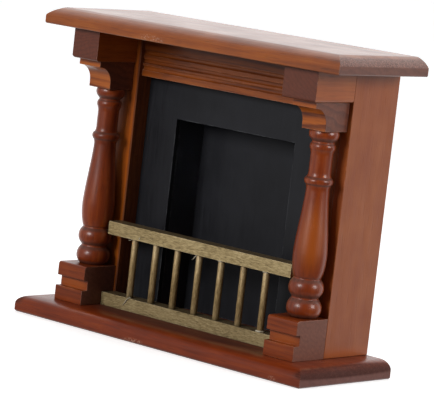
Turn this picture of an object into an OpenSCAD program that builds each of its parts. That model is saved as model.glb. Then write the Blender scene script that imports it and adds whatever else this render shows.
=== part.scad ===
// Miniature fireplace mantel for a dolls' house, with turned columns and a fender.
// Millimetres. +Z up, the front faces -Y, the origin is under the centre of the hearth base.

/* [Hearth base] */
// How far the hearth base stands out beyond the body at each end
base_side = 10.6; // [6:0.1:20]
// How far the hearth base stands out in front of the pilaster face
base_front = 24; // [21:0.1:36]
// Thickness of the hearth base
base_t = 6; // [4:0.1:10]
// How far the round-over reaches in on the top, at the front and both ends
base_round_w = 5; // [2:0.1:7]
// How far the round-over drops down the edge
base_round_h = 3.2; // [1.5:0.1:3.6]
// Small eased arris along the bottom edge
base_ease = 0.5; // [0.2:0.1:0.8]

/* [Mantel shelf] */
// Overhang of the mantel shelf beyond the body at each end
shelf_side = 11.1; // [6:0.1:20]
// Overhang of the mantel shelf in front of the pilaster face
shelf_front = 23.2; // [20:0.1:36]
// Thickness of the mantel shelf
shelf_t = 6.1; // [4:0.1:10]
// How far the chamfer reaches in on the top, at the front and both ends
shelf_chamfer_w = 5; // [2:0.1:8]
// How far the chamfer drops down the edge
shelf_chamfer_h = 3.2; // [1.5:0.1:3.8]
// Fullness of the chamfer, 0 flat to 1 a full round
shelf_fullness = 0.4; // [0:0.05:1]
// Small eased arris along the bottom edge
shelf_ease = 0.35; // [0.1:0.05:0.8]

/* [Body] */
// Width over the side panels
body_w = 108.8; // [86:0.2:150]
// Depth of the side panels, from the pilaster face to the back
body_d = 23; // [18:0.5:32]
// Height from the hearth base to the underside of the shelf
body_h = 94.6; // [78:0.2:130]
// Thickness of each side panel
side_t = 4; // [3:0.1:6]
// Width of each pilaster face, side panel edge included
pilaster_w = 13.8; // [11:0.1:20]
// Thickness of the pilaster boards
pilaster_t = 6.4; // [5:0.1:8]

/* [Frieze] */
// Height of the frieze rail
frieze_h = 14.5; // [11.5:0.1:20]
// Setback of the frieze behind the pilaster face
frieze_setback = 1.4; // [0.5:0.1:2.5]
// Radius of the round-nosed grooves
groove_r = 0.9; // [0.5:0.05:1.2]
// Depth of the grooves
groove_depth = 0.55; // [0.3:0.05:0.8]
// Heights of the grooves above the lower edge
groove_z = [2.9, 5.2, 8.2]; // [1.5:0.1:12]

/* [Head blocks] */
// Height of the head blocks
head_h = 10.3; // [8:0.1:14]
// Projection of the head blocks in front of the pilaster face
head_proj = 19.6; // [15:0.1:21]
// Width of the left head block, which is cut a little narrower
head_left_w = 11.8; // [10.8:0.1:16]
// Width of the right head block
head_right_w = 14.2; // [11.5:0.1:17]
// Radius of the eased lower corners
head_round = 1; // [0.4:0.1:1.6]

/* [Corbels] */
// Width of the corbels
corbel_w = 9.9; // [8.4:0.1:11.4]
// Height of the corbels
corbel_h = 9.6; // [8:0.1:13]
// Inset of the corbel's outer side from the outside of the body
corbel_inset = 1.4; // [0.5:0.1:2.4]
// Projection of the corbel's top fillet
corbel_top_proj = 17.1; // [15.4:0.1:18.5]
// Projection of the corbel's lower band
corbel_low_proj = 11.2; // [10.4:0.1:12.4]
// Height of the top fillet
corbel_fillet_h = 2.1; // [1.2:0.1:3]
// Step back from the fillet to the cove
corbel_quirk = 0.5; // [0.2:0.1:1]

/* [Plinth blocks] */
// How much narrower the plinth blocks are than the pilasters
plinth_inset = 1; // [0.4:0.1:2]
// Height of the plinth blocks
plinth_h = 13.3; // [11:0.1:18]
// Projection of the upper band in front of the pilaster face
plinth_proj = 15.3; // [13:0.1:17]
// How much further the lower band comes forward
plinth_step = 0.5; // [0:0.1:1]
// Depth of the recess between the bands, from the upper band's face
plinth_recess = 2; // [1:0.1:3]
// Height of the lower band
plinth_low_h = 5; // [3.5:0.1:7]
// Height of the upper band
plinth_up_h = 4.8; // [3.5:0.1:7]
// Radius of the rounded top edge
plinth_round = 1; // [0.4:0.1:1.5]

/* [Columns] */
// Diameter of the two balls at the foot
col_ball_d = 11.6; // [10:0.1:11.8]
// Height of each ball
col_ball_h = 6.5; // [5:0.1:8]
// Diameter of the foot
col_foot_d = 8.6; // [7:0.1:9.6]
// Diameter of the cove between the balls
col_waist_d = 8.8; // [7:0.1:9.6]
// Diameter of the cove between the upper ball and the vase
col_neck_d = 9; // [7:0.1:9.6]
// Height of these two coves
col_cove_h = 0.9; // [0.5:0.1:1.4]
// Largest diameter of the vase
col_vase_d = 11.3; // [10:0.1:11.8]
// Height of the widest part of the vase above its lower neck
col_vase_belly_h = 7.6; // [5:0.1:12]
// Diameter at the top of the vase
col_vase_top_d = 7.6; // [6:0.1:8.6]
// Diameter of the ring above the vase
col_ring_d = 9.5; // [9:0.1:11]
// Height of the ring
col_ring_h = 2.8; // [2:0.1:4.5]
// Height of the hollow flares that lead into the ring and the small bead
col_flare_h = 1.6; // [0.8:0.1:2.2]
// How far the flares spread
col_flare_w = 0.3; // [0.2:0.05:0.6]
// Diameter of the slim shaft above the ring
col_shaft_d = 7.3; // [5.5:0.1:7.8]
// Height of the slim shaft between its flares
col_shaft_h = 5.4; // [3:0.1:9]
// Diameter of the small bead above the shaft
col_bead_d = 8.5; // [8.2:0.1:10]
// Height of the small bead
col_bead_h = 2.3; // [1.6:0.1:3.5]
// Diameter of the cap bead under the corbel
col_cap_d = 9.9; // [8.6:0.1:11.4]
// Height of the cap bead and the hollow under it
col_cap_h = 4.3; // [3:0.1:6]
// Diameter of the turned pins at both ends
col_pin_d = 4; // [2.5:0.1:5]
// Length of the turned pins
col_pin_l = 3; // [2:0.1:4]
// Gap between the balls and the pilaster face behind them
col_back_gap = 0.1; // [0.05:0.05:1]
// Sideways offset of both columns on their plinths, towards the right
col_offset = 0.5; // [-0.6:0.1:0.6]

/* [Firebox] */
// Thickness of the painted firebox boards
fire_t = 2; // [1.5:0.1:2.6]
// Width of the surround left showing at each side of the aperture
surround_side = 14; // [8:0.1:22]
// Height of the surround left showing above the aperture
surround_top = 13.1; // [6:0.1:24]

/* [Fender] */
// Height of each fender rail
rail_h = 4.5; // [3.5:0.1:6]
// Depth of the fender rails, front to back
rail_d = 6; // [4.5:0.1:7]
// Distance of the baluster axes behind the front of the rails
baluster_setback = 1.8; // [1.8:0.1:2.6]
// Overall height of the fender
fender_h = 29.3; // [22:0.1:40]
// Distance from each end of the lower rail to the first baluster
baluster_end = 11.6; // [6:0.1:16]
// Diameter of the balusters
baluster_d = 2.3; // [1.6:0.1:3]
// Depth of the holes that take the baluster ends
baluster_socket = 2.2; // [1.5:0.1:3]

/* [Joinery] */
// Height of the tongues that stand in the housings
tongue_h = 1.5; // [1:0.1:2]
// Thickness of the tongues
tongue_t = 2; // [1.2:0.1:2.4]
// How far the tongues stop short of each end
tongue_stop = 2; // [1.5:0.1:3]
// Diameter of the pins behind the blocks
block_pin_d = 3.4; // [2.4:0.1:4]
// Length of the pins behind the blocks
block_pin_l = 3; // [2:0.1:4]
// Clearance all round a tongue or pin in its housing
fit_clear = 0.1; // [0.05:0.05:0.2]
// Clearance at each end of the fender rails
rail_clear = 0.15; // [0.05:0.05:0.4]

/* [Hidden] */
$fn = 48;
// small amount that cutters run past the face they open
over = 1;
// balusters in the fender, as many as the list of nodes names
baluster_n = 7;
base_w = body_w + 2 * base_side;
base_d = body_d + base_front;
shelf_w = body_w + 2 * shelf_side;
shelf_d = body_d + shelf_front;
back_y = base_d / 2;
face_y = back_y - body_d;
floor_z = base_t;
ceil_z = base_t + body_h;
body_x = body_w / 2;
panel_x = body_x - side_t;
pilaster_x = body_x - pilaster_w;
pilaster_board_w = pilaster_w - side_t;
pilaster_back_y = face_y + pilaster_t;
frieze_y = face_y + frieze_setback;
frieze_t = pilaster_t - frieze_setback;
frieze_w = 2 * pilaster_x;
frieze_z = ceil_z - frieze_h;
head_z = ceil_z - head_h;
corbel_z = head_z - corbel_h;
corbel_x = body_x - corbel_inset - corbel_w / 2;
plinth_w = pilaster_w - plinth_inset;
plinth_x = body_x - plinth_w / 2;
plinth_top_z = floor_z + plinth_h;
cove_r = corbel_top_proj - corbel_quirk - corbel_low_proj;
col_x = plinth_x;
// the columns slim down when the plinths get too narrow for them
col_fit = min(1, (plinth_w - 1) / col_ball_d);
col_r_max = col_fit * max(col_ball_d, col_vase_d) / 2;
col_y = face_y - col_r_max - col_back_gap;
col_h = corbel_z - plinth_top_z;
col_vase_h = col_h - 2 * col_ball_h - col_ring_h - col_shaft_h - col_bead_h - col_cap_h
    - 3 * col_flare_h;
surround_y = pilaster_back_y;
surround_back_y = surround_y + fire_t;
fire_back_y = back_y - fire_t;
cheek_d = fire_back_y - surround_back_y;
aperture_w = frieze_w - 2 * surround_side;
aperture_z = frieze_z - surround_top;
aperture_h = aperture_z - floor_z;
rail_y = face_y - rail_d;
// the lower rail fits between the plinths, the upper one between the columns as well
lower_rail_x = body_x - plinth_w - rail_clear;
upper_rail_x = min(lower_rail_x, col_x - col_offset - col_r_max - rail_clear);
baluster_pitch = 2 * (lower_rail_x - baluster_end) / (baluster_n - 1);
fender_top_z = floor_z + fender_h;
top_rail_z = fender_top_z - rail_h;
bottom_rail_top_z = floor_z + rail_h;
// height of the pin holes in the pilaster faces, at the middle of each block
head_pin_z = head_z + head_h / 2;
corbel_pin_z = corbel_z + corbel_h / 2;
plinth_pin_z = floor_z + plinth_h / 2;
// a block's pin is in the middle of what it shares with the pilaster board
function pin_x(inner_x) = (max(inner_x, pilaster_x) + panel_x) / 2;
function head_w(side) = side < 0 ? head_left_w : head_right_w;
function head_pin_x(side) = pin_x(body_x - head_w(side));
corbel_pin_x = pin_x(corbel_x - corbel_w / 2);
plinth_pin_x = pin_x(body_x - plinth_w);
// colours
mahogany = [0.45, 0.18, 0.09];
mahogany_light = [0.60, 0.30, 0.14];
mahogany_panel = [0.52, 0.30, 0.23];
end_grain = [0.34, 0.19, 0.16];
soot_black = [0.07, 0.07, 0.08];
gilt = [0.62, 0.54, 0.33];

// ---- helpers ----

// points of a round or a soft chamfer that starts on the edge and ends on the top,
// w in from the edge and h up, k = 1 a quarter ellipse and k = 0 a flat chamfer
function edge_curve(w, h, k, steps = 12) = [
    for (i = [0 : steps])
        let (t = i / steps)
        [(1 - k) * w * t + k * w * (1 - cos(90 * t)), (1 - k) * h * t + k * h * sin(90 * t)]
];

// half outline of a moulded board from its edge to a far side, board edge at 0
module edge_section(depth, thick, w, h, k, ease) {
    polygon(concat(
        [[depth, 0], [ease, 0], [0, ease]],
        [for (p = edge_curve(w, h, k)) [p[0], thick - h + p[1]]],
        [[depth, thick]]));
}

// board with the same moulded edge along the front and both ends, mitred at the corners
module moulded_board(width, depth, thick, w, h, k, ease) {
    intersection() {
        // front edge, carried through the whole width
        translate([-width / 2, -depth, 0])
            rotate([90, 0, 90])
                linear_extrude(width)
                    edge_section(depth, thick, w, h, k, ease);
        // both end edges, carried through the whole depth
        union()
            for (side = [-1, 1])
                mirror([side > 0 ? 1 : 0, 0, 0])
                    translate([-width / 2, 0, 0])
                        rotate([90, 0, 0])
                            linear_extrude(depth)
                                edge_section(width / 2 + over, thick, w, h, k, ease);
    }
}

// box given by its lower corner and its size
module block(corner, size) {
    translate(corner)
        cube(size);
}

// puts the child, drawn for the right-hand side, on either side
module on_side(side) {
    mirror([side < 0 ? 1 : 0, 0, 0])
        children();
}

// tongue of a side panel, grown by clear on every side to make its housing
module panel_tongue(z0, clear) {
    block([panel_x + (side_t - tongue_t) / 2 - clear, face_y + tongue_stop - clear, z0 - clear],
        [tongue_t + 2 * clear, body_d - 2 * tongue_stop + 2 * clear, tongue_h + 2 * clear]);
}

// tongue of a pilaster board, grown by clear on every side to make its housing
module pilaster_tongue(z0, clear) {
    block([pilaster_x + tongue_stop - clear, face_y + (pilaster_t - tongue_t) / 2 - clear,
        z0 - clear],
        [pilaster_board_w - 2 * tongue_stop + 2 * clear, tongue_t + 2 * clear,
        tongue_h + 2 * clear]);
}

// all tongues at one level
module tongues(z0, clear) {
    for (side = [-1, 1])
        on_side(side) {
            panel_tongue(z0, clear);
            pilaster_tongue(z0, clear);
        }
}

// tenon at the right-hand end of the frieze rail
module frieze_tenon(clear) {
    block([pilaster_x - clear, frieze_y + (frieze_t - tongue_t) / 2 - clear,
        frieze_z + tongue_stop - clear],
        [tongue_h + 2 * clear, tongue_t + 2 * clear, frieze_h - 2 * tongue_stop + 2 * clear]);
}

// pin that runs back from a block into the pilaster face
module back_pin(x0, z0, clear) {
    translate([x0, face_y - over, z0])
        rotate([-90, 0, 0])
            cylinder(h = block_pin_l + over + clear, d = block_pin_d + 2 * clear);
}

// ---- base and shelf ----

module hearth_base() {
    color(mahogany)
        difference() {
            translate([0, back_y, 0])
                moulded_board(base_w, base_d, base_t, base_round_w, base_round_h, 1, base_ease);
            tongues(floor_z - tongue_h, fit_clear);
        }
}

module mantel_shelf() {
    color(mahogany)
        difference() {
            translate([0, back_y, ceil_z])
                moulded_board(shelf_w, shelf_d, shelf_t, shelf_chamfer_w, shelf_chamfer_h,
                    shelf_fullness, shelf_ease);
            tongues(ceil_z, fit_clear);
        }
}

// ---- body ----

module side_panel(side) {
    color(mahogany_panel)
        on_side(side) {
            block([panel_x, face_y, floor_z], [side_t, body_d, body_h]);
            panel_tongue(floor_z - tongue_h, 0);
            panel_tongue(ceil_z, 0);
        }
}

module pilaster_board(side) {
    color(mahogany)
        on_side(side)
            difference() {
                union() {
                    block([pilaster_x, face_y, floor_z],
                        [pilaster_board_w, pilaster_t, body_h]);
                    pilaster_tongue(floor_z - tongue_h, 0);
                    pilaster_tongue(ceil_z, 0);
                }
                back_pin(head_pin_x(side), head_pin_z, fit_clear);
                back_pin(corbel_pin_x, corbel_pin_z, fit_clear);
                back_pin(plinth_pin_x, plinth_pin_z, fit_clear);
                frieze_tenon(fit_clear);
            }
}

module frieze_rail() {
    color(mahogany_light)
        difference() {
            union() {
                block([-frieze_w / 2, frieze_y, frieze_z], [frieze_w, frieze_t, frieze_h]);
                for (side = [-1, 1])
                    on_side(side)
                        frieze_tenon(0);
            }
            for (dz = groove_z)
                translate([-frieze_w / 2 - over, frieze_y + groove_depth - groove_r,
                    frieze_z + dz])
                    rotate([0, 90, 0])
                        cylinder(h = frieze_w + 2 * over, r = groove_r);
        }
}

// ---- head blocks, corbels and plinths ----

// block with its lower front corner and its lower outer corner rounded
module head_block(side) {
    width = head_w(side);
    color(end_grain)
        on_side(side) {
            intersection() {
                translate([body_x - width, 0, 0])
                    rotate([90, 0, 90])
                        linear_extrude(width)
                            polygon(concat(
                                [[face_y, head_z]],
                                [for (i = [0 : 6])
                                    [face_y - head_proj + head_round * (1 - sin(15 * i)),
                                    head_z + head_round * (1 - cos(15 * i))]],
                                [[face_y - head_proj, ceil_z], [face_y, ceil_z]]));
                translate([0, face_y, 0])
                    rotate([90, 0, 0])
                        linear_extrude(head_proj + over)
                            polygon(concat(
                                [[body_x - width - over, ceil_z],
                                [body_x - width - over, head_z]],
                                [for (i = [0 : 6])
                                    [body_x - head_round * (1 - sin(15 * i)),
                                    head_z + head_round * (1 - cos(15 * i))]],
                                [[body_x, ceil_z]]));
            }
            block_pin(head_pin_x(side), head_pin_z);
        }
}

// the pin itself, which starts inside its block
module block_pin(x0, z0) {
    translate([x0, face_y - over, z0])
        rotate([-90, 0, 0])
            cylinder(h = block_pin_l + over, d = block_pin_d);
}

// outline of the corbel, forward distance and height
module corbel_outline() {
    quirk_z = corbel_h - corbel_fillet_h;
    cove_z = quirk_z - cove_r;
    polygon(concat(
        [[0, 0], [corbel_low_proj, 0]],
        [for (i = [0 : 10])
            [corbel_low_proj + cove_r * (1 - cos(9 * i)), cove_z + cove_r * sin(9 * i)]],
        [[corbel_top_proj, quirk_z], [corbel_top_proj, corbel_h], [0, corbel_h]]));
}

module corbel(side) {
    color(mahogany_light)
        on_side(side)
            difference() {
                union() {
                    translate([corbel_x + corbel_w / 2, face_y, corbel_z])
                        rotate([90, 0, -90])
                            linear_extrude(corbel_w)
                                corbel_outline();
                    block_pin(corbel_pin_x, corbel_pin_z);
                }
                column_pin(side, corbel_z - over, col_pin_l + over + fit_clear, fit_clear);
            }
}

// outline of the plinth block, forward distance and height
module plinth_outline() {
    low = plinth_proj + plinth_step;
    recess = plinth_proj - plinth_recess;
    up_z = plinth_h - plinth_up_h;
    polygon(concat(
        [[0, 0], [low, 0], [low, plinth_low_h], [recess, plinth_low_h], [recess, up_z],
        [plinth_proj, up_z]],
        [for (i = [0 : 6])
            [plinth_proj - plinth_round * (1 - cos(15 * i)),
            plinth_h - plinth_round * (1 - sin(15 * i))]],
        [[0, plinth_h]]));
}

module plinth_block(side) {
    color(mahogany_light)
        on_side(side)
            difference() {
                union() {
                    translate([body_x, face_y, floor_z])
                        rotate([90, 0, -90])
                            linear_extrude(plinth_w)
                                plinth_outline();
                    block_pin(plinth_pin_x, plinth_pin_z);
                }
                column_pin(side, plinth_top_z - col_pin_l - fit_clear, col_pin_l + fit_clear + over,
                    fit_clear);
            }
}

// ---- columns ----

// pin on the axis of the column, grown by clear in radius
module column_pin(side, z0, length, clear) {
    translate([col_x + side * col_offset, col_y, z0])
        cylinder(h = length, d = col_pin_d + 2 * clear);
}

// half outline of a bead from z0, between the radii r0 below and r1 above, widest at mid of its height
function bead(z0, h, r, r0, r1, mid = 0.5, steps = 14) = [
    for (i = [0 : steps])
        let (u = 2 * i / steps - 1, base = u < 0 ? r0 : r1)
        [base + (r - base) * (1 - pow(abs(u), 2.2)), z0 + h * (mid + u * (u < 0 ? mid : 1 - mid))]
];

// inner points of a small cove around the height z, with radius r at its bottom
function cove(z, h, r, steps = 6) = [
    for (i = [1 : steps - 1])
        let (u = 2 * i / steps - 1)
        [r + h / 4 * u * u, z + h / 2 * u]
];

// inner points of a hollow flare between the radii r0 below and r1 above
function flare(z0, h, r0, r1, steps = 5) = [
    for (i = [1 : steps - 1])
        let (t = i / steps)
        [r0 > r1 ? r1 + (r0 - r1) * pow(1 - t, 2) : r0 + (r1 - r0) * pow(t, 2), z0 + h * t]
];

// half outline of the vase, from its lower neck at z0 to its top
function vase(z0, h, r_low, r, r_top, belly) = concat(
    [for (i = [0 : 9])
        let (u = 1 - i / 10)
        [r - (r - r_low) * pow(u, 2.5), z0 + belly * (1 - u)]],
    [for (i = [0 : 12])
        let (t = i / 12, s = (t + t * t * (3 - 2 * t)) / 2)
        [r - (r - r_top) * s, z0 + belly + (h - belly) * t]]
);

module column_outline() {
    lip = col_cove_h / 4;
    half = col_cove_h / 2;
    z1 = col_ball_h;
    z2 = z1 + col_ball_h;
    z3 = z2 + col_vase_h;
    z4 = z3 + col_flare_h;
    z5 = z4 + col_ring_h;
    z6 = z5 + col_flare_h;
    z7 = z6 + col_shaft_h;
    z8 = z7 + col_flare_h;
    z9 = z8 + col_bead_h;
    shaft_r = col_shaft_d / 2;
    top_r = col_vase_top_d / 2;
    waist_r = col_waist_d / 2;
    neck_r = col_neck_d / 2;
    scale([col_fit, 1])
        polygon(concat(
            [[0, 0]],
            bead(0, z1 - half, col_ball_d / 2, col_foot_d / 2, waist_r + lip),
            cove(z1, col_cove_h, waist_r),
            bead(z1 + half, z2 - z1 - col_cove_h, col_ball_d / 2, waist_r + lip, neck_r + lip),
            cove(z2, col_cove_h, neck_r),
            vase(z2 + half, col_vase_h - half, neck_r + lip, col_vase_d / 2, top_r, col_vase_belly_h),
            flare(z3, col_flare_h, top_r, top_r + col_flare_w),
            bead(z4, col_ring_h, col_ring_d / 2, top_r + col_flare_w, shaft_r + col_flare_w),
            flare(z5, col_flare_h, shaft_r + col_flare_w, shaft_r),
            [[shaft_r, z6], [shaft_r, z7]],
            flare(z7, col_flare_h, shaft_r, shaft_r + col_flare_w),
            bead(z8, col_bead_h, col_bead_d / 2, shaft_r + col_flare_w, shaft_r + lip),
            cove(z9 + half, col_cove_h, shaft_r),
            bead(z9 + col_cove_h, col_cap_h - col_cove_h, col_cap_d / 2, shaft_r + lip, shaft_r + 1, 0.62),
            [[0, col_h]]));
}

module column(side) {
    color(mahogany)
        on_side(side) {
            translate([col_x + side * col_offset, col_y, plinth_top_z])
                rotate_extrude($fn = 96)
                    column_outline();
            column_pin(side, plinth_top_z - col_pin_l, col_pin_l + over, 0);
            column_pin(side, corbel_z - over, col_pin_l + over, 0);
        }
}

// ---- firebox ----

module firebox_surround() {
    color(soot_black)
        difference() {
            block([-panel_x, surround_y, floor_z], [2 * panel_x, fire_t, body_h]);
            block([-aperture_w / 2, surround_y - over, floor_z - over],
                [aperture_w, fire_t + 2 * over, aperture_h + over]);
        }
}

module firebox_cheek(side) {
    color(soot_black)
        on_side(side)
            block([aperture_w / 2, surround_back_y, floor_z],
                [fire_t, cheek_d, aperture_h + fire_t]);
}

module firebox_top() {
    color(soot_black)
        block([-aperture_w / 2, surround_back_y, aperture_z], [aperture_w, cheek_d, fire_t]);
}

module firebox_back() {
    color(soot_black)
        block([-panel_x, fire_back_y, floor_z], [2 * panel_x, fire_t, body_h]);
}

// ---- fender ----

// place of baluster i, counted from the left
function baluster_x(i) = (i - (baluster_n + 1) / 2) * baluster_pitch;

module fender_rail(half_w, z0, socket_z) {
    color(gilt)
        difference() {
            block([-half_w, rail_y, z0], [2 * half_w, rail_d, rail_h]);
            for (i = [1 : baluster_n])
                translate([baluster_x(i), rail_y + baluster_setback, socket_z])
                    cylinder(h = baluster_socket + over, d = baluster_d + 2 * fit_clear);
        }
}

module fender_bottom_rail() {
    fender_rail(lower_rail_x, floor_z, bottom_rail_top_z - baluster_socket);
}

module fender_top_rail() {
    fender_rail(upper_rail_x, top_rail_z, top_rail_z - over);
}

module baluster(i) {
    z0 = bottom_rail_top_z - baluster_socket;
    color(gilt)
        translate([baluster_x(i), rail_y + baluster_setback, z0])
            cylinder(h = top_rail_z + baluster_socket - z0, d = baluster_d);
}

hearth_base();
mantel_shelf();
side_panel(-1);  // left_side_panel
side_panel(1);  // right_side_panel
pilaster_board(-1);  // left_pilaster_board
pilaster_board(1);  // right_pilaster_board
frieze_rail();
head_block(-1);  // left_head_block
head_block(1);  // right_head_block
corbel(-1);  // left_corbel
corbel(1);  // right_corbel
column(-1);  // left_column
column(1);  // right_column
plinth_block(-1);  // left_plinth_block
plinth_block(1);  // right_plinth_block
firebox_surround();
firebox_cheek(-1);  // firebox_left_cheek
firebox_cheek(1);  // firebox_right_cheek
firebox_top();
firebox_back();
fender_top_rail();
fender_bottom_rail();
baluster(1);  // fender_baluster_1
baluster(2);  // fender_baluster_2
baluster(3);  // fender_baluster_3
baluster(4);  // fender_baluster_4
baluster(5);  // fender_baluster_5
baluster(6);  // fender_baluster_6
baluster(7);  // fender_baluster_7
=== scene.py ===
"""A dolls' house fireplace in stained wood, built around the CAD frame.

Every CAD node gets its finish, and all but the columns and balusters get eased edges. The few drops and
strings of glue that the maker left on the fender are added, and then the light, the floor and the camera."""

import math
import random

import bpy
from mathutils import Matrix, Vector


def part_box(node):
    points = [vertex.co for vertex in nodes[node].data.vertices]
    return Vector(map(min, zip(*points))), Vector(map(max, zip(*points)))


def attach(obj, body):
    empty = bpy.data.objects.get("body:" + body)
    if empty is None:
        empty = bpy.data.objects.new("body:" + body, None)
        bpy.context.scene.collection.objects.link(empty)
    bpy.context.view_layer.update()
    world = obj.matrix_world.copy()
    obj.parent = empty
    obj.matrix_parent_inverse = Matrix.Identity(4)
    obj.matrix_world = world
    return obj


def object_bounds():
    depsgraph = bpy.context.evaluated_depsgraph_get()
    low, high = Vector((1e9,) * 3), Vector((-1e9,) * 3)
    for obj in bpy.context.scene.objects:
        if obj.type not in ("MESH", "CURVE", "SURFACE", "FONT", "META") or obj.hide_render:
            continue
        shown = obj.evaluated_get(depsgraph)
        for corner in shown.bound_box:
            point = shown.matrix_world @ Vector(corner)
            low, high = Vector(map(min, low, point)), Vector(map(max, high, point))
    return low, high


MM = 0.001

# stains, each as its dark, middle and light tone
STAIN = ((0.095, 0.014, 0.0025), (0.32, 0.062, 0.0060), (0.47, 0.120, 0.014))
RED_STAIN = ((0.070, 0.008, 0.0018), (0.22, 0.030, 0.0040), (0.38, 0.072, 0.008))
PALE_STAIN = ((0.110, 0.018, 0.0030), (0.42, 0.098, 0.0085), (0.58, 0.175, 0.018))
# orange of thin stain, also used as a painted glow of light bounced from the hearth base
THIN_AND_GLOW_ORANGE = (0.40, 0.084, 0.005)
BARE_WOOD = (0.66, 0.38, 0.26)
# end grain
PLAIN_END = (0.17, 0.050, 0.028)
BASE_END = (0.19, 0.066, 0.050)
HEAD_END = (0.125, 0.025, 0.012)
PLINTH_END = (0.22, 0.080, 0.050)
TORN_DARK = (0.105, 0.032, 0.020)
TORN_PALE = (0.35, 0.140, 0.092)
# black paint, rubbed on its edges and dusty
BLACK_DEEP = (0.006, 0.006, 0.008)
BLACK_DULL = (0.013, 0.0135, 0.018)
BLACK_RUBBED = (0.30, 0.32, 0.34)
DUST = (0.22, 0.23, 0.25)
# gold paint over wood
GILT = ((0.13, 0.090, 0.036), (0.37, 0.270, 0.120), (0.64, 0.51, 0.28))
GILT_GRIME = (0.075, 0.045, 0.024)
# painted highlight for the edges of the gilt
GILT_HIGHLIGHT = (0.80, 0.66, 0.42)
# painted shade for the inner corners of the gilt
GILT_CORNER_SHADE = (0.05, 0.035, 0.015)
# dried glue, clear and cloudy
GLUE_CLEAR = (0.42, 0.34, 0.20)
GLUE_CLOUDY = (0.78, 0.74, 0.62)

# the middle of the log that every board is sawn from, in millimetres across the grain
PITH = (31, 24)
# how far the arrises are taken off
EASE = 0.2 * MM
BOARD_EASE = 0.25 * MM
RAIL_EASE = 0.3 * MM

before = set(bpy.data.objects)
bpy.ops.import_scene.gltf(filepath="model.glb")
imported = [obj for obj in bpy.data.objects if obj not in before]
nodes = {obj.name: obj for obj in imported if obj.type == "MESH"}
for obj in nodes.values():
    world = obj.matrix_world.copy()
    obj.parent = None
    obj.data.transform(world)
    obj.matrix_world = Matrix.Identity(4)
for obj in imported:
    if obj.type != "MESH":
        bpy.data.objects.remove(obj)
cad_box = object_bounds()


def tint(colour, red, green, blue):
    return (colour[0] * red, colour[1] * green, colour[2] * blue)


def shade(colour, level):
    return tint(colour, level, level, level)


def tinted(tones, red, green, blue):
    return tuple(tint(tone, red, green, blue) for tone in tones)


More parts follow.
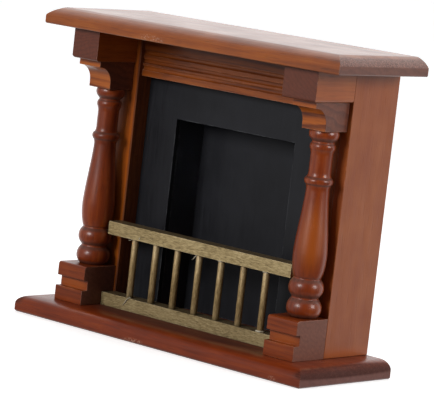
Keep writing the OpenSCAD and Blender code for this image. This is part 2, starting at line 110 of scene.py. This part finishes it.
# ---------------------------------------------------------------- node trees
class Paint:
    """One material, with short calls for the nodes that its functions use."""

    def __init__(self, name):
        self.material = bpy.data.materials.new(name)
        self.material.use_nodes = True
        self.tree = self.material.node_tree
        self.tree.nodes.clear()
        self.shader = self.node("ShaderNodeBsdfPrincipled")
        out = self.node("ShaderNodeOutputMaterial")
        self.tree.links.new(self.shader.outputs["BSDF"], out.inputs["Surface"])

    def node(self, kind, inputs=None, **settings):
        made = self.tree.nodes.new(kind)
        for key, value in settings.items():
            setattr(made, key, value)
        for key, value in (inputs or {}).items():
            self.put(made.inputs[key], value)
        return made

    def put(self, socket, value):
        if isinstance(value, bpy.types.NodeSocket):
            self.tree.links.new(value, socket)
        else:
            socket.default_value = value

    def surface(self, settings):
        for key, value in settings.items():
            self.put(self.shader.inputs[key], value)

    def math(self, operation, a, b=0.0, clamp=False):
        made = self.node("ShaderNodeMath", {0: a, 1: b}, operation=operation, use_clamp=clamp)
        return made.outputs[0]

    def plus(self, a, b, clamp=False):
        return self.math("ADD", a, b, clamp)

    def minus(self, a, b, clamp=False):
        return self.math("SUBTRACT", a, b, clamp)

    def times(self, a, b):
        return self.math("MULTIPLY", a, b)

    def larger(self, a, b):
        return self.math("MAXIMUM", a, b)

    def place(self):
        return self.node("ShaderNodeTexCoord").outputs["Object"]

    def along(self, grain, shift):
        """Object coordinates turned so that the grain runs along the third one, moved by shift."""
        turned = self.node("ShaderNodeSeparateXYZ", {0: self.place()}).outputs
        order = {"X": (1, 2, 0), "Y": (2, 0, 1), "Z": (0, 1, 2)}[grain]
        joined = self.node("ShaderNodeCombineXYZ", {i: turned[k] for i, k in enumerate(order)})
        moved = self.node("ShaderNodeVectorMath", {0: joined.outputs[0], 1: shift}, operation="ADD")
        return moved.outputs[0]

    def scaled(self, vector, factors):
        made = self.node("ShaderNodeVectorMath", {0: vector, 1: factors}, operation="MULTIPLY")
        return made.outputs[0]

    def length(self, vector):
        made = self.node("ShaderNodeVectorMath", {0: vector}, operation="LENGTH")
        return made.outputs["Value"]

    def facing(self):
        """How much a face looks along X, Y and Z."""
        normal = self.node("ShaderNodeNewGeometry").outputs["True Normal"]
        return self.node("ShaderNodeSeparateXYZ", {0: normal}).outputs

    def noise(self, vector, size, detail=2.0, rough=0.5, bend=0.0):
        """Noise from 0 to 1 with features about size metres across."""
        made = self.node(
            "ShaderNodeTexNoise",
            {"Vector": vector, "Scale": 1 / size, "Detail": detail, "Roughness": rough, "Distortion": bend},
        )
        return made.outputs["Fac"]

    def span(self, value, low, high, to_low=0.0, to_high=1.0, smooth=False):
        made = self.node(
            "ShaderNodeMapRange",
            {"Value": value, "From Min": low, "From Max": high, "To Min": to_low, "To Max": to_high},
            interpolation_type="SMOOTHSTEP" if smooth else "LINEAR",
        )
        return made.outputs["Result"]

    def swing(self, noise, to_low, to_high):
        """A noise stretched to run from to_low to to_high, as most of it lies between 0.3 and 0.7."""
        return self.span(noise, 0.3, 0.7, to_low, to_high)

    def ramp(self, value, stops):
        made = self.node("ShaderNodeValToRGB", {"Fac": value})
        made.color_ramp.interpolation = "LINEAR"
        while len(made.color_ramp.elements) < len(stops):
            made.color_ramp.elements.new(0.5)
        for element, (at, colour) in zip(made.color_ramp.elements, stops):
            element.position = at
            element.color = (*colour, 1)
        return made.outputs["Color"]

    def mix(self, factor, a, b):
        made = self.node("ShaderNodeMix", data_type="RGBA", blend_type="MIX")
        self.put(made.inputs["Factor"], factor)
        self.put(made.inputs["A"], (*a, 1) if isinstance(a, tuple) else a)
        self.put(made.inputs["B"], (*b, 1) if isinstance(b, tuple) else b)
        return made.outputs["Result"]

    def edges(self, radius):
        """0 on flat surfaces, rising to 1 at an arris, within radius of it."""
        round_normal = self.node("ShaderNodeBevel", {"Radius": radius}, samples=4).outputs[0]
        true_normal = self.node("ShaderNodeNewGeometry").outputs["True Normal"]
        dot = self.node("ShaderNodeVectorMath", {0: round_normal, 1: true_normal}, operation="DOT_PRODUCT")
        return self.span(dot.outputs["Value"], 0.995, 0.80)

    def corners(self, reach):
        """0 in the open, rising to 1 deep in an inner corner."""
        open_sky = self.node("ShaderNodeAmbientOcclusion", {"Distance": reach}, samples=4).outputs["AO"]
        return self.span(open_sky, 0.8, 0.25)

    def near(self, point, reach):
        """1 at a point in the frame, fading to 0 at its reach along X, Y and Z."""
        away = self.node("ShaderNodeVectorMath", {0: self.place(), 1: tuple(point)}, operation="SUBTRACT")
        shares = self.scaled(away.outputs["Vector"], tuple(1 / r for r in reach))
        return self.span(self.length(shares), 1.0, 0.3, smooth=True)

    def bump(self, height, distance, under=None):
        """Relief of distance metres, on top of another bump if there is one."""
        made = self.node("ShaderNodeBump", {"Height": height, "Distance": distance, "Strength": 1.0})
        if under:
            self.put(made.inputs["Normal"], under)
        return made.outputs[0]


# ---------------------------------------------------------------- stained wood
class Board:
    """The solid grain of one piece of wood. Its colour, gloss and relief all come from these."""

    def __init__(self, paint, grain, seed, ring):
        draw = random.Random(seed)
        shift = tuple(draw.uniform(-90, 90) * MM for _ in range(3))
        self.place = paint.along(grain, shift)
        from_log = paint.along(grain, (PITH[0] * MM, PITH[1] * MM, shift[2]))
        # growth rings: the distance from the pith, bent slowly along the board; each darkens outwards
        warp = paint.noise(paint.scaled(self.place, (1, 1, 0.16)), 14 * MM)
        from_pith = paint.length(paint.scaled(from_log, (1, 1, 0)))
        from_pith = paint.plus(from_pith, paint.span(warp, 0, 1, 0, 9 * MM))
        turns = paint.math("FRACT", paint.times(from_pith, 1 / (ring * MM)))
        late = paint.span(turns, 0.30, 0.86, smooth=True)
        self.late = paint.times(late, paint.span(turns, 1.0, 0.90))
        # fibres, broad flames and pores, all drawn out along the grain
        self.fibre = paint.noise(paint.scaled(self.place, (1, 1, 0.035)), 0.34 * MM, 3.0, 0.65)
        self.flames = paint.noise(paint.scaled(self.place, (1, 1, 0.06)), 2.6 * MM, 3.0, 0.6, 0.3)
        pores = paint.noise(paint.scaled(self.place, (1, 1, 0.07)), 0.42 * MM, 1.0)
        self.pores = paint.span(pores, 0.60, 0.74)
        # uneven stain on the faces and, finer, on the cut ends
        self.blotch = paint.noise(self.place, 17 * MM, 3.0, 0.55)
        self.mottle = paint.noise(self.place, 1.1 * MM, 4.0, 0.7)


def long_grain(paint, board, tones, streak, flame, fine, pore, thin_and_glow):
    """The colour along the grain, orange in the given patches: thin stain, and painted glow standing in for
    light bounced from the hearth base.
    """
    dark, middle, light = tones
    tone = paint.times(board.late, streak)
    tone = paint.plus(tone, paint.span(board.flames, 0.28, 0.75, 0.28, 0.28 + flame))
    tone = paint.plus(tone, paint.swing(board.fibre, -0.07 * fine, 0.09 * fine))
    tone = paint.plus(tone, paint.swing(board.blotch, -0.12, 0.14), clamp=True)
    colour = paint.ramp(tone, [(0.0, light), (0.45, middle), (1.0, dark)])
    colour = paint.mix(paint.times(board.pores, pore), colour, shade(dark, 0.3))
    # orange patches: thin stain, and on the side panels a painted glow of light bounced from the base
    for point, reach in thin_and_glow:
        orange_patch = paint.times(paint.near(point, reach), paint.span(board.blotch, 0.2, 0.6, 0.55, 1.0))
        colour = paint.mix(paint.times(orange_patch, 0.8), colour, THIN_AND_GLOW_ORANGE)
    return colour


def end_grain(paint, board, grain, end_tint, end_rings, cut, sawn):
    """Where a face is cut across the grain, from 0 to 1, with its colour and its relief."""
    facing = paint.facing()
    end = paint.math("ABSOLUTE", facing["XYZ".index(grain)])
    end = paint.span(end, cut[0], cut[1], smooth=True)
    colour = paint.mix(paint.span(board.mottle, 0.35, 0.65), shade(end_tint, 0.72), end_tint)
    colour = paint.mix(paint.times(board.late, end_rings), colour, shade(end_tint, 0.45))
    if not sawn:
        return end, colour, paint.times(paint.times(board.mottle, end), 1.2)
    # the sloping part of the end is only half sanded: pale torn fibres over dark pits
    half_sanded = paint.times(paint.span(facing["Z"], 0.2, 0.45), paint.span(end, 0.0, 0.5))
    torn = paint.noise(paint.scaled(board.place, (1, 0.6, 1)), 0.42 * MM, 3.0, 0.75)
    torn = paint.span(torn, 0.42, 0.62)
    colour = paint.mix(half_sanded, colour, paint.mix(torn, TORN_DARK, TORN_PALE))
    end = paint.larger(end, half_sanded)
    relief = paint.times(paint.times(board.mottle, end), 1.2)
    return end, colour, paint.plus(relief, paint.times(paint.times(torn, half_sanded), 1.6))


def rubbed_wood(paint, board, wear, bare, chips):
    """Where the finish is gone, from 0 to 1: here and there along the edges, and flaked off at the chips."""
    patchy = paint.span(paint.noise(board.place, 3.5 * MM, 3.0, 0.6), bare - 0.1, bare + 0.1)
    rubbed = paint.times(paint.times(paint.edges(0.32 * MM), patchy), wear)
    for point, reach in chips:
        flaked = paint.span(paint.noise(board.place, 0.6 * MM, 4.0, 0.8), 0.52, 0.62)
        flaked = paint.times(flaked, paint.span(paint.near(point, reach), 0.1, 0.8, 0, 0.75))
        rubbed = paint.larger(rubbed, flaked)
    return rubbed


def wood(name, grain, seed, tones, ring=1.6, streak=0.15, flame=0.3, fine=1.0, pore=0.3, gloss=0.32,
         coat=0.25, wear=0.6, bare=0.50, corner_shade=0.4, end_tint=PLAIN_END, end_rings=0.35,
         cut=(0.38, 0.60), sawn=False, thin_and_glow=(), chips=(), shade_patches=()):
    """Stained and varnished wood, solid right through, so that cut faces show end grain.

    grain is the axis that the fibres run along, and ring the width of a growth ring in millimetres.
    streak, flame, fine and pore are how strongly rings, broad bands, fibres and pores show. gloss is the
    roughness of the varnish and coat the weight of a clear coat on it. wear is how much is rubbed off the
    edges, a higher bare leaves more of them covered, and the one after bare is how dark painted shade
    makes the inner corners.
    A face counts as end grain from cut's first value of its slope to its second, and end_rings is how
    strongly the rings show there. sawn leaves the sloping part of an end rough. The last three are patches:
    of orange where the stain is thin, and at the foot of the side panels a painted glow standing in for
    light bounced from the hearth base; where the finish is knocked off; and of painted shade, where the
    varnish is also duller."""
    dark = tones[0]
    paint = Paint(name)
    board = Board(paint, grain, seed, ring)
    end, end_colour, end_relief = end_grain(paint, board, grain, end_tint, end_rings, cut, sawn)
    rubbed = rubbed_wood(paint, board, wear, bare, chips)

    colour = long_grain(paint, board, tones, streak, flame, fine, pore, thin_and_glow)
    colour = paint.mix(paint.times(end, 0.9), colour, end_colour)
    # painted shade: the wood is darkened in inner corners, from an ambient occlusion mask
    colour = paint.mix(paint.times(paint.corners(2.6 * MM), corner_shade), colour, shade(dark, 0.35))
    colour = paint.mix(rubbed, colour, BARE_WOOD)
    rough = paint.swing(board.fibre, gloss - 0.03, gloss + 0.05)
    # painted shade: these patches make the wood darker, and also rougher
    for point, reach in shade_patches:
        patch_shade = paint.span(paint.near(point, reach), 0.0, 0.5)
        patch_shade = paint.times(patch_shade, paint.span(board.fibre, 0.3, 0.6, 0.7, 1.0))
        colour = paint.mix(paint.times(patch_shade, 0.6), colour, shade(dark, 0.25))
        rough = paint.plus(rough, paint.times(patch_shade, 0.45))
    rough = paint.plus(rough, paint.swing(board.blotch, -0.04, 0.07))
    rough = paint.plus(rough, paint.times(paint.larger(rubbed, end), 0.18), clamp=True)

    relief = paint.minus(paint.times(board.fibre, 0.5), paint.times(board.pores, 0.6))
    relief = paint.minus(relief, paint.times(board.late, 0.15))
    relief = paint.plus(relief, end_relief)
    swell = paint.bump(paint.noise(paint.scaled(board.place, (1, 1, 0.35)), 5.5 * MM, 1.0), 0.10 * MM)
    paint.surface({"Base Color": colour, "Roughness": rough, "Specular IOR Level": 0.38, "Coat Weight": coat,
                   "Coat Roughness": 0.2, "Normal": paint.bump(relief, 0.03 * MM, swell),
                   "Coat Normal": paint.bump(relief, 0.012 * MM, swell)})
    return paint.material


# ---------------------------------------------------------------- paints and glue
def black_paint(name, level=1.0):
    """Brushed blackboard paint on thin card and ply, rubbed blue-grey where hands reach it."""
    paint = Paint(name)
    place = paint.place()
    brush = paint.noise(paint.scaled(place, (1, 1, 0.07)), 0.8 * MM, 3.0, 0.6)
    cloud = paint.noise(place, 21 * MM, 4.0, 0.6)
    grit = paint.noise(place, 0.25 * MM, 1.0)
    tone = paint.plus(paint.swing(cloud, 0.1, 0.7), paint.swing(brush, -0.1, 0.2), clamp=True)
    colour = paint.ramp(tone, [(0.0, shade(BLACK_DEEP, level)), (1.0, shade(BLACK_DULL, level))])
    patchy = paint.span(paint.noise(place, 6 * MM, 3.0, 0.7), 0.44, 0.56)
    rubbed = paint.times(paint.edges(0.4 * MM), patchy)
    colour = paint.mix(paint.times(rubbed, 0.7), colour, BLACK_RUBBED)
    dust = paint.span(paint.noise(place, 1.1 * MM, 5.0, 0.8), 0.66, 0.80)
    colour = paint.mix(paint.times(dust, 0.10), colour, DUST)
    rough = paint.plus(paint.swing(cloud, 0.42, 0.56), paint.swing(brush, -0.05, 0.07))
    skin = paint.plus(paint.times(brush, 0.7), paint.times(grit, 0.3))
    swell = paint.bump(paint.noise(place, 9 * MM, 1.0), 0.12 * MM)
    paint.surface({"Base Color": colour, "Roughness": rough, "Specular IOR Level": 0.3,
                   "Normal": paint.bump(skin, 0.03 * MM, swell)})
    return paint.material


def gilt_paint(name, grain, seed, level=1.0, warm=1.0):
    """Thin gold paint over fine wood: short dark pores show through, and a painted highlight lightens the
    edges.
    """
    paint = Paint(name)
    draw = random.Random(seed)
    place = paint.along(grain, tuple(draw.uniform(-50, 50) * MM for _ in range(3)))
    fibre = paint.noise(paint.scaled(place, (1, 1, 0.2)), 0.45 * MM, 4.0, 0.75)
    dashes = paint.noise(paint.scaled(place, (1, 1, 0.3)), 0.32 * MM, 2.0, 0.6)
    dashes = paint.span(dashes, 0.50, 0.68)
    cloud = paint.noise(paint.scaled(place, (1, 1, 0.3)), 5 * MM, 3.0, 0.6)
    flakes = paint.noise(place, 0.16 * MM, 1.0)
    tone = paint.plus(paint.span(fibre, 0.34, 0.66, 0.14, 0.76), paint.swing(cloud, -0.08, 0.16))
    tone = paint.minus(tone, paint.times(dashes, 0.2), clamp=True)
    dark, middle, light = tinted(GILT, level, level / warm, level / warm ** 2)
    colour = paint.ramp(tone, [(0.0, dark), (0.45, middle), (1.0, light)])
    # the upper faces are worn and grimy
    upper = paint.span(paint.facing()["Z"], 0.7, 0.95)
    upper = paint.times(upper, paint.span(fibre, 0.25, 0.6, 0.9, 0.6))
    colour = paint.mix(upper, colour, GILT_GRIME)
    # painted highlight along the edges, in patches
    edge_highlight = paint.times(paint.edges(0.35 * MM), paint.span(cloud, 0.35, 0.6))
    colour = paint.mix(paint.times(edge_highlight, 0.8), colour, GILT_HIGHLIGHT)
    # painted shade: the gold darkened in inner corners, from an ambient occlusion mask
    colour = paint.mix(paint.times(paint.corners(2.0 * MM), 0.6), colour, GILT_CORNER_SHADE)
    relief = paint.minus(paint.plus(fibre, flakes), dashes)
    paint.surface({"Base Color": colour, "Metallic": paint.span(flakes, 0.4, 0.6, 0.15, 0.45),
                   "Roughness": paint.swing(fibre, 0.38, 0.55), "Normal": paint.bump(relief, 0.03 * MM)})
    return paint.material


def glue():
    """Dried glue, cloudy and a little yellow."""
    paint = Paint("dried_glue")
    cloud = paint.noise(paint.place(), 0.5 * MM, 3.0, 0.6)
    paint.surface({"Base Color": paint.ramp(cloud, [(0.3, GLUE_CLEAR), (0.7, GLUE_CLOUDY)]),
                   "Roughness": paint.swing(cloud, 0.25, 0.45), "Normal": paint.bump(cloud, 0.05 * MM)})
    return paint.material


# ---------------------------------------------------------------- finishes of the CAD nodes
def finish_node(name, material, ease):
    """Gives a CAD node its material, and takes its sharp arrises off by ease metres."""
    piece = nodes[name]
    piece.data.materials.clear()
    piece.data.materials.append(material)
    weld = piece.modifiers.new("weld", "WELD")
    weld.merge_threshold = 0.002 * MM
    flat = piece.modifiers.new("flat", "DECIMATE")
    flat.decimate_type = "DISSOLVE"
    flat.angle_limit = math.radians(0.6)
    if ease:
        bevel = piece.modifiers.new("ease", "BEVEL")
        bevel.width = ease
        bevel.segments = 3
        bevel.limit_method = "ANGLE"
        bevel.angle_limit = math.radians(35)
        bevel.harden_normals = False
    for polygon in piece.data.polygons:
        polygon.use_smooth = True
    level = piece.modifiers.new("level", "WEIGHTED_NORMAL")
    level.weight = 100


def spot(node, across, depth, height):
    """A point given as shares of a node's box."""
    low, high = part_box(node)
    return tuple(low[i] + share * (high[i] - low[i]) for i, share in enumerate((across, depth, height)))


def patch(node, across, depth, height, reach):
    """A spot with how far a mask reaches round it along X, Y and Z, in millimetres."""
    return spot(node, across, depth, height), tuple(r * MM for r in reach)


def finish_base():
    """Duller on the top near the fender and along the upper moulding of both ends, which also get painted
    shade; chips on the lower front edge.
    """
    # painted shade: the strip of the top near the fender and the upper round of both ends, darker and
    # rougher
    shade_patches = [patch("hearth_base", 0.5, 0.36, 1.0, (58, 13, 3)),
             patch("hearth_base", 1.0, 0.5, 0.72, (5, 45, 2.6)),
             patch("hearth_base", 0.0, 0.5, 0.72, (5, 45, 2.6))]
    chips = [patch("hearth_base", 0.44, 0.0, 0.1, (7, 2, 1.6)),
             patch("hearth_base", 0.91, 0.02, 0.1, (2.5, 2.5, 2.5))]
    finish_node("hearth_base", wood(
        "hearth_base", "X", 3, RED_STAIN, ring=2.6, streak=0.10, coat=0.0, gloss=0.3, wear=0.7, bare=0.45,
        end_tint=BASE_END, end_rings=0.12, cut=(0.5, 0.9), shade_patches=shade_patches, chips=chips), EASE)


def finish_shelf():
    """Glossy, with rough chamfers at both ends and chips on the lower front edge."""
    chips = [patch("mantel_shelf", 0.38, 0.02, 0.1, (9, 3, 2.6)),
             patch("mantel_shelf", 0.93, 0.03, 0.15, (1.8, 1.5, 1.5))]
    finish_node("mantel_shelf", wood(
        "mantel_shelf", "X", 5, tinted(PALE_STAIN, 0.80, 0.76, 0.7), ring=2.6, streak=0.12, coat=0.5,
        wear=1.0, bare=0.42, sawn=True, chips=chips), EASE)


def finish_frieze():
    tones = tinted(PALE_STAIN, 0.66, 0.64, 0.7)
    finish_node("frieze_rail", wood("frieze", "X", 41, tones, ring=2.3, streak=0.22, flame=0.35), EASE)


def finish_panel(side, seed):
    """Plain and even, with a painted orange glow at the foot, standing in for light reflected from the
    hearth base.
    """
    # painted reflection: orange glow at the foot, where light bounces up from the hearth base
    thin_and_glow = [patch(side + "_side_panel", 0.5, 0.5, 0.0, (30, 26, 7))]
    finish_node(side + "_side_panel", wood(
        side + "_panel", "Z", seed, tinted(STAIN, 0.9, 0.95, 1.1), ring=3.0, streak=0.04, flame=0.10,
        fine=0.35, gloss=0.4, pore=0.12, thin_and_glow=thin_and_glow), BOARD_EASE)


def finish_pilaster(side, seed):
    """Pale, with painted shade darkening the inner edge, towards the firebox."""
    inner = 1.0 if side == "left" else 0.0
    # painted shade on the reveal that faces the firebox, darker and duller
    darkening = [patch(side + "_pilaster_board", inner, 0.5, 0.5, (0.9, 30, 90))]
    finish_node(side + "_pilaster_board", wood(
        side + "_board", "Z", seed, PALE_STAIN, ring=1.8, shade_patches=darkening), BOARD_EASE)


def finish_head(side, seed):
    """Dark end grain looks forward."""
    finish_node(side + "_head_block", wood(
        side + "_head", "Y", seed, tinted(PALE_STAIN, 0.86, 0.82, 0.8), ring=1.3, streak=0.07, flame=0.2,
        wear=0.9, end_tint=HEAD_END), BOARD_EASE)


def finish_corbel(side, seed, streak):
    finish_node(side + "_corbel", wood(
        side + "_corbel", "X", seed, PALE_STAIN, ring=2.7, streak=streak, wear=0.9), EASE)


def finish_column(side, seed, thin_and_glow):
    finish_node(side + "_column", wood(
        side + "_column", "Z", seed, tinted(RED_STAIN, 1.05, 1.1, 0.8), ring=2.4, streak=0.1, gloss=0.37,
        coat=0.3, wear=0.2, thin_and_glow=thin_and_glow), 0)


def finish_plinth(side, seed):
    """Dark, with thin stain in the groove of the front."""
    groove = [patch(side + "_plinth_block", 0.5, 0.1, 0.47, (10, 5, 2.6))]
    finish_node(side + "_plinth_block", wood(
        side + "_plinth", "X", seed, tinted(STAIN, 0.74, 0.6, 0.5), coat=0.0, corner_shade=0.15,
        end_tint=PLINTH_END, end_rings=0.15, thin_and_glow=groove), EASE)


def finish_side(side, seed, corbel_streak, column_thin):
    """All the wooden pieces on one side, each from its own seed."""
    finish_panel(side, seed)
    finish_pilaster(side, seed + 4)
    finish_head(side, seed + 8)
    finish_corbel(side, seed + 12, corbel_streak)
    finish_column(side, seed + 16, column_thin)
    finish_plinth(side, seed + 20)


def finish_firebox():
    """Black paint, with a lighter copy on the left cheek as painted light, since hardly any light falls
    there.
    """
    darkening = black_paint("black_paint")
    # painted light: a lighter copy of the black paint for the left cheek
    lightened = black_paint("lightened_black", 2.5)
    for name in sorted(nodes):
        if name.startswith("firebox"):
            finish_node(name, lightened if "left" in name else darkening, EASE)


def finish_fender():
    """Gold paint, duller on the lower rail and warmer on the balusters."""
    finish_node("fender_top_rail", gilt_paint("fender_top_rail", "X", 51, 1.12), RAIL_EASE)
    finish_node("fender_bottom_rail", gilt_paint("fender_bottom_rail", "X", 52, 0.90), RAIL_EASE)
    for name in sorted(nodes):
        if name.startswith("fender_baluster"):
            finish_node(name, gilt_paint(name, "Z", 60 + int(name[-1]), 1.0, 1.1), 0)


finish_base()
finish_shelf()
finish_side("left", 11, corbel_streak=0.3, column_thin=())
# the front of the right vase shows more orange than the left one
finish_side("right", 12, corbel_streak=0.5, column_thin=[patch("right_column", 0.85, 0.1, 0.45, (7, 7, 16))])
finish_frieze()
finish_firebox()
finish_fender()


# ---------------------------------------------------------------- glue left by the maker
def loft(name, rings, material):
    """A closed piece through rings of points, each anticlockwise as seen from beyond the last one."""
    sides = len(rings[0])
    points = [point for ring in rings for point in ring]
    faces = [tuple(reversed(range(sides)))]
    for start in range(0, len(points) - sides, sides):
        for corner in range(sides):
            beside = (corner + 1) % sides
            faces.append((start + corner, start + beside, start + sides + beside, start + sides + corner))
    faces.append(tuple(range(len(points) - sides, len(points))))
    mesh = bpy.data.meshes.new(name)
    mesh.from_pydata(points, [], faces)
    mesh.update()
    mesh.polygons.foreach_set("use_smooth", [True] * len(mesh.polygons))
    mesh.materials.append(material)
    piece = bpy.data.objects.new(name, mesh)
    bpy.context.scene.collection.objects.link(piece)
    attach(piece, "root")


def ring_turns(sides):
    return [2 * math.pi * corner / sides for corner in range(sides)]


def glue_string(name, start, steps, radius, material):
    """A thread of glue, thinner at both ends. steps are in millimetres, each from the point before."""
    path = [Vector(start)]
    for step in steps:
        path.append(path[-1] + Vector(step) * MM)
    rings = []
    for place, at in enumerate(path):
        before, after = path[max(place - 1, 0)], path[min(place + 1, len(path) - 1)]
        along = (after - before).normalized()
        one = along.orthogonal().normalized()
        two = along.cross(one)
        thick = radius * (0.45 + 0.55 * math.sin(math.pi * (place + 0.5) / len(path)))
        rings.append([at + thick * (math.cos(turn) * one + math.sin(turn) * two) for turn in ring_turns(8)])
    loft(name, rings, material)


def glue_collar(name, centre, radius, height, material, seed, sides=20, rows=7):
    """A lumpy ring of glue squeezed out round the end of a baluster."""
    draw = random.Random(seed)
    lumps = [draw.uniform(0.82, 1.12) for _ in range(sides)]
    rings = []
    for row in range(rows):
        lean = math.pi * (row + 0.5) / rows
        ring = []
        for lump, turn in zip(lumps, ring_turns(sides)):
            wide = radius * lump * (0.72 + 0.28 * math.sin(lean))
            ring.append(centre + Vector((wide * math.cos(turn), wide * math.sin(turn),
                                         -0.5 * height * math.cos(lean))))
        rings.append(ring)
    loft(name, rings, material)


def baluster(index):
    """The middle of a baluster and its radius."""
    low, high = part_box("fender_baluster_%d" % index)
    return (low + high) / 2, (high.x - low.x) / 2


def add_glue():
    dried = glue()
    top_low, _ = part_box("fender_top_rail")
    foot_low, foot_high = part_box("fender_bottom_rail")
    first, _ = baluster(1)
    fourth, _ = baluster(4)
    front = top_low.y + 1.2 * MM
    under = top_low.z + 0.1 * MM
    glue_string("glue_string_foot", (first.x + 2.0 * MM, foot_low.y + 0.5 * MM, foot_high.z + 0.25 * MM),
                [(-0.5, -0.4, 0.1), (-0.5, -0.35, -0.55), (-0.6, 0.0, -0.8), (-0.7, 0.03, -0.9),
                 (-0.7, 0.05, -0.9)], 0.17 * MM, dried)
    glue_string("glue_wisp_top", (first.x - 0.2 * MM, front, under),
                [(-0.4, -0.5, -0.2), (-0.5, -0.4, -0.35), (-0.4, -0.2, -0.1), (-0.25, 0.0, 0.35)],
                0.14 * MM, dried)
    glue_string("glue_wisp_middle", (fourth.x - 0.3 * MM, front, under),
                [(-0.4, -0.4, -0.3), (-0.5, -0.2, -0.7), (-0.5, -0.1, -0.6), (-0.5, 0.0, -0.5)],
                0.16 * MM, dried)
    glue_string("glue_spot_rail", (first.x + 3.2 * MM, top_low.y + 0.05 * MM, top_low.z + 0.5 * MM),
                [(0.1, -0.12, 0.2), (0.1, 0.0, 0.25), (0.0, 0.08, 0.25)], 0.26 * MM, dried)
    high, low = top_low.z - 0.15 * MM, foot_high.z + 0.15 * MM
    for name, index, level, seed in (("glue_collar_a", 5, high, 76), ("glue_collar_b", 7, high, 78),
                                     ("glue_collar_c", 7, low, 77)):
        middle, radius = baluster(index)
        glue_collar(name, Vector((middle.x, middle.y, level)), radius + 0.35 * MM, 0.7 * MM, dried, seed)


add_glue()


# ---------------------------------------------------------------- light, floor and camera
def soft_light(name, at, towards, size, power, spread=180):
    """A square lamp size metres wide, spread degrees its beam."""
    data = bpy.data.lights.new(name, "AREA")
    data.shape = "SQUARE"
    data.size = size
    data.energy = power
    data.spread = math.radians(spread)
    lamp = bpy.data.objects.new(name, data)
    lamp.location = at
    lamp.rotation_euler = (Vector(towards) - Vector(at)).to_track_quat("-Z", "Y").to_euler()
    bpy.context.scene.collection.objects.link(lamp)


def white_floor():
    """A large pale floor just under the piece."""
    half = 3.0
    mesh = bpy.data.meshes.new("floor")
    corners = [(-half, -half, 0), (half, -half, 0), (half, half, 0), (-half, half, 0)]
    mesh.from_pydata(corners, [], [(0, 1, 2, 3)])
    floor = bpy.data.objects.new("floor", mesh)
    floor.location.z = cad_box[0][2] - 0.02 * MM
    bpy.context.scene.collection.objects.link(floor)
    paint = Paint("floor_white")
    paint.surface({"Base Color": (0.93, 0.93, 0.93, 1), "Roughness": 0.7,
                   "Emission Color": (1, 1, 1, 1), "Emission Strength": 0.55})
    mesh.materials.append(paint.material)
    # the studio around it already lights the piece from below
    floor.visible_glossy = False
    floor.visible_diffuse = False


def place_camera():
    """A long lens a little above the hearth, looking from the right, tipped slightly sideways."""
    azimuth = math.radians(40.86)
    elevation = math.radians(7.25)
    roll = math.radians(6.48)
    target = Vector((4.6, -3.5, 50.0)) * MM
    distance = 0.952
    back = Vector((math.sin(azimuth) * math.cos(elevation), -math.cos(azimuth) * math.cos(elevation),
                   math.sin(elevation)))
    right = (-back).cross(Vector((0, 0, 1))).normalized()
    up = right.cross(-back)
    tipped_right = math.cos(roll) * right + math.sin(roll) * up
    tipped_up = -math.sin(roll) * right + math.cos(roll) * up
    data = bpy.data.cameras.new("camera")
    data.lens = 236.1
    data.sensor_width = 36.0
    camera = bpy.data.objects.new("camera", data)
    turn = Matrix((tipped_right, tipped_up, back)).transposed()
    camera.matrix_world = Matrix.Translation(target + distance * back) @ turn.to_4x4()
    bpy.context.scene.collection.objects.link(camera)
    bpy.context.scene.camera = camera


def studio(backdrop, left, front, table):
    """Light from all around: a bright backdrop behind the piece, as a product table has, its glow from
    below, a pale wall on the left and a dim room in front. The camera itself looks at plain white."""
    world = bpy.data.worlds.new("studio")
    world.use_nodes = True
    tree = world.node_tree
    sky = tree.nodes["Background"]
    sky.inputs["Color"].default_value = (1, 1, 1, 1)
    way = tree.nodes.new("ShaderNodeTexCoord").outputs["Generated"]

    def towards(direction, low, high, dim, bright):
        dot = tree.nodes.new("ShaderNodeVectorMath")
        dot.operation = "DOT_PRODUCT"
        dot.inputs[1].default_value = direction
        tree.links.new(way, dot.inputs[0])
        fade = tree.nodes.new("ShaderNodeMapRange")
        fade.interpolation_type = "SMOOTHSTEP"
        for key, value in (("From Min", low), ("From Max", high), ("To Min", dim), ("To Max", bright)):
            fade.inputs[key].default_value = value
        tree.links.new(dot.outputs["Value"], fade.inputs["Value"])
        return fade.outputs["Result"]

    def brighter(a, b):
        level = tree.nodes.new("ShaderNodeMath")
        level.operation = "MAXIMUM"
        tree.links.new(a, level.inputs[0])
        tree.links.new(b, level.inputs[1])
        return level.outputs[0]

    room = towards((-0.42, 0.91, 0), 0.2, 0.6, front, backdrop)
    room = brighter(room, towards((0, 0, -1), 0.3, 0.8, 0, table))
    room = brighter(room, towards((-0.95, -0.3, 0), 0.2, 0.8, 0, left))
    seen = tree.nodes.new("ShaderNodeLightPath").outputs["Is Camera Ray"]
    tree.links.new(brighter(room, seen), sky.inputs["Strength"])
    bpy.context.scene.world = world
    bpy.context.scene.view_settings.view_transform = "Standard"


def around(azimuth, elevation, distance):
    """A point seen from the middle of the piece: azimuth 0 is straight in front, 90 on its right."""
    turn, lift = math.radians(azimuth), math.radians(elevation)
    flat = distance * math.cos(lift)
    return (flat * math.sin(turn), -flat * math.cos(turn), 0.05 + distance * math.sin(lift))


middle = (0, 0, 0.05)
white_floor()
studio(backdrop=1.25, left=0.45, front=0.06, table=0.4)
soft_light("front_box", around(-5, 20, 1.1), middle, size=0.36, power=6.6)
soft_light("right_box", around(100, 20, 1.1), middle, size=0.40, power=6.0)
# a narrow, weak beam from beside the camera: the inside of the firebox is not quite black
deep_inside = spot("firebox_back", 0.32, 0.0, 0.55)
soft_light("hearth_fill", around(36, 8, 1.0), deep_inside, size=0.03, power=0.0012, spread=4)
place_camera()
